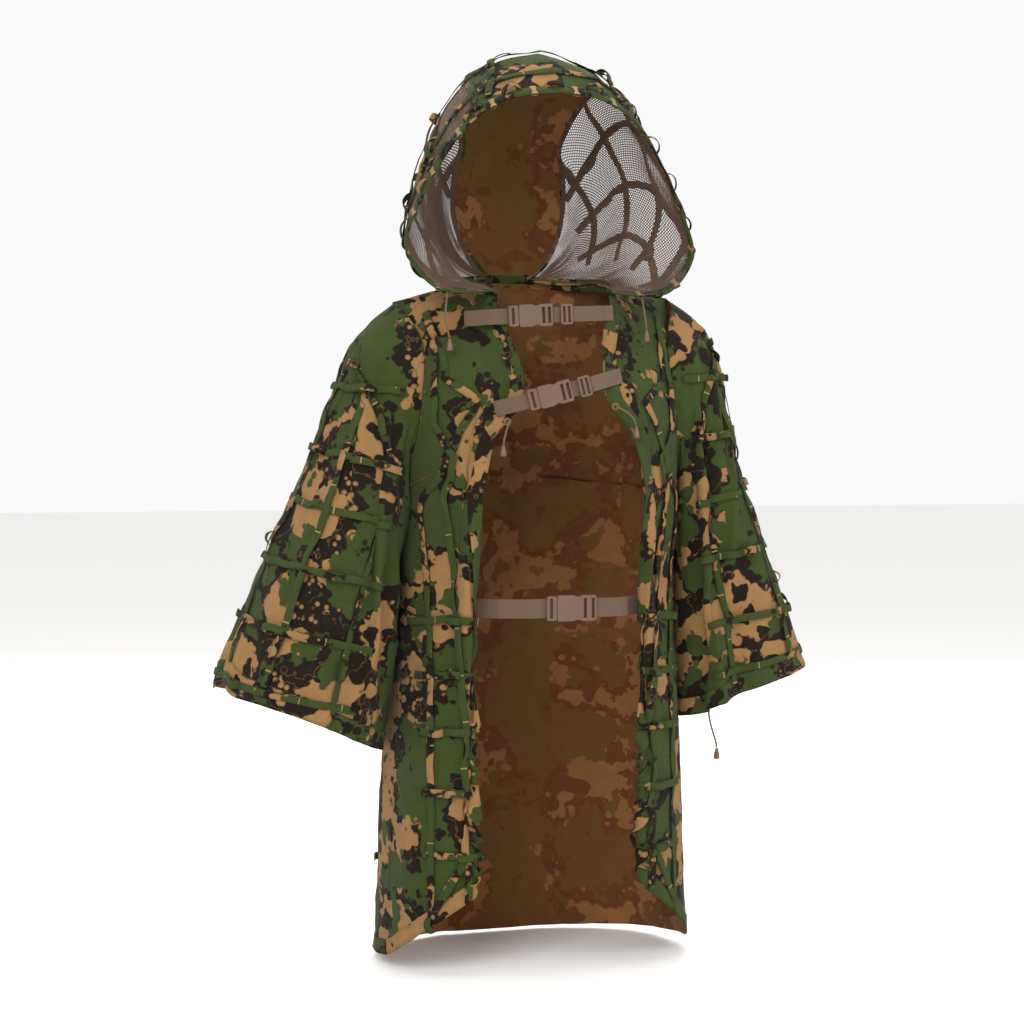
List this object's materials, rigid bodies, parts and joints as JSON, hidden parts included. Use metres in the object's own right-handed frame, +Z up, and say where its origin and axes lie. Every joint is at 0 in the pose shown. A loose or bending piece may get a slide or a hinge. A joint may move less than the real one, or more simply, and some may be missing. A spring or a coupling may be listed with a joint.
{
  "type": "ghillie jacket",
  "caption": "Hooded, open-front ghillie jacket in lobed camouflage cotton with mesh hood sides, sewn ribbon nets, three buckled straps and bell-ended cord pulls.",
  "frame": {"origin": "middle of the neck base, where the garment hangs from the wearer's shoulders", "axes": "+Z up; -Y out of the open front; +X to the wearer's left"},
  "size_m": [0.85, 0.3183, 1.2174],
  "materials": {
    "camo_cotton": "matte",
    "hood_mesh": "matte",
    "garnish_ribbon": "matte",
    "webbing": "matte",
    "buckle_plastic": "satin",
    "cord": "matte"
  },
  "bodies": {
    "garment": {"front_panel_right": "camo_cotton", "sleeve_right": "camo_cotton", "front_ribbons_right": "garnish_ribbon", "sleeve_ribbons_right": "garnish_ribbon", "waist_belt_right": "webbing", "eyelet_right": "buckle_plastic", "front_panel_left": "camo_cotton", "sleeve_left": "camo_cotton", "front_ribbons_left": "garnish_ribbon", "sleeve_ribbons_left": "garnish_ribbon", "waist_belt_left": "webbing", "eyelet_left": "buckle_plastic", "back_panel": "camo_cotton", "back_ribbons": "garnish_ribbon", "neck_socket": "buckle_plastic", "chest_socket": "buckle_plastic", "waist_socket": "buckle_plastic", "neck_webbing_right": "webbing", "neck_webbing_left": "webbing", "chest_webbing_right": "webbing", "chest_webbing_left": "webbing", "hood_cord_right": "cord", "hood_cord_left": "cord", "chest_cord_right": "cord", "chest_cord_left": "cord", "sleeve_cord_left": "cord", "hood_bell_right": "buckle_plastic", "hood_bell_left": "buckle_plastic", "chest_bell_right": "buckle_plastic", "chest_bell_left": "buckle_plastic", "sleeve_bell_left": "buckle_plastic"},
    "hood": {"hood_crown": "camo_cotton", "hood_mesh_right": "hood_mesh", "hood_mesh_left": "hood_mesh", "hood_rim": "hood_mesh", "hood_ribbons": "garnish_ribbon"},
    "neck_plug_body": {"neck_plug": "buckle_plastic"},
    "neck_prong_upper_body": {"neck_prong_upper": "buckle_plastic"},
    "neck_prong_lower_body": {"neck_prong_lower": "buckle_plastic"},
    "chest_plug_body": {"chest_plug": "buckle_plastic"},
    "chest_prong_upper_body": {"chest_prong_upper": "buckle_plastic"},
    "chest_prong_lower_body": {"chest_prong_lower": "buckle_plastic"},
    "waist_plug_body": {"waist_plug": "buckle_plastic"},
    "waist_prong_upper_body": {"waist_prong_upper": "buckle_plastic"},
    "waist_prong_lower_body": {"waist_prong_lower": "buckle_plastic"},
    "neck_tri_glide_body": {"neck_tri_glide": "buckle_plastic"},
    "chest_tri_glide_body": {"chest_tri_glide": "buckle_plastic"}
  },
  "joints": [
    {"name": "hood_tilt", "type": "hinge", "parent": "garment", "child": "hood", "pos_m": [0, 0.118, 0.012], "axis": [-1, 0, 0], "range_deg": [0, 22]},
    {"name": "neck_plug_slide", "type": "slide", "parent": "garment", "child": "neck_plug_body", "axis": [-0.9988, 0, -0.05], "range_m": [0, 0.021], "deforming": ["neck_webbing_right"]},
    {"name": "neck_prong_upper_squeeze", "type": "hinge", "parent": "neck_plug_body", "child": "neck_prong_upper_body", "pos_m": [-0.05388, -0.111, -0.03233], "axis": [0, 1, 0], "range_deg": [0, 8], "stiffness_Nm_per_rad": 0.05},
    {"name": "neck_prong_lower_squeeze", "type": "hinge", "parent": "neck_plug_body", "child": "neck_prong_lower_body", "pos_m": [-0.05292, -0.111, -0.05151], "axis": [0, -1, 0], "range_deg": [0, 8], "stiffness_Nm_per_rad": 0.05},
    {"name": "neck_tri_glide_slide", "type": "slide", "parent": "garment", "child": "neck_tri_glide_body", "axis": [0.9988, 0, 0.05], "range_m": [-0.009, 0.003]},
    {"name": "chest_plug_slide", "type": "slide", "parent": "garment", "child": "chest_plug_body", "axis": [-0.9689, 0, -0.2474], "range_m": [0, 0.021], "deforming": ["chest_webbing_right"]},
    {"name": "chest_prong_upper_squeeze", "type": "hinge", "parent": "chest_plug_body", "child": "chest_prong_upper_body", "pos_m": [-0.04283, -0.155, -0.1403], "axis": [0, 1, 0], "range_deg": [0, 8], "stiffness_Nm_per_rad": 0.05},
    {"name": "chest_prong_lower_squeeze", "type": "hinge", "parent": "chest_plug_body", "child": "chest_prong_lower_body", "pos_m": [-0.03807, -0.155, -0.15891], "axis": [0, -1, 0], "range_deg": [0, 8], "stiffness_Nm_per_rad": 0.05},
    {"name": "chest_tri_glide_slide", "type": "slide", "parent": "garment", "child": "chest_tri_glide_body", "axis": [0.9689, 0, 0.2474], "range_m": [-0.009, 0.003]},
    {"name": "waist_plug_slide", "type": "slide", "parent": "garment", "child": "waist_plug_body", "axis": [-1, 0, 0], "range_m": [0, 0.021], "deforming": ["waist_belt_right"]},
    {"name": "waist_prong_upper_squeeze", "type": "hinge", "parent": "waist_plug_body", "child": "waist_prong_upper_body", "pos_m": [-0.0074, -0.131, -0.4119], "axis": [0, 1, 0], "range_deg": [0, 8], "stiffness_Nm_per_rad": 0.05},
    {"name": "waist_prong_lower_squeeze", "type": "hinge", "parent": "waist_plug_body", "child": "waist_prong_lower_body", "pos_m": [-0.0074, -0.131, -0.4361], "axis": [0, -1, 0], "range_deg": [0, 8], "stiffness_Nm_per_rad": 0.05}
  ],
  "couplings": [
    {"joint": "neck_prong_lower_squeeze", "follows": "neck_prong_upper_squeeze", "ratio": 1},
    {"joint": "chest_prong_lower_squeeze", "follows": "chest_prong_upper_squeeze", "ratio": 1},
    {"joint": "waist_prong_lower_squeeze", "follows": "waist_prong_upper_squeeze", "ratio": 1}
  ]
}
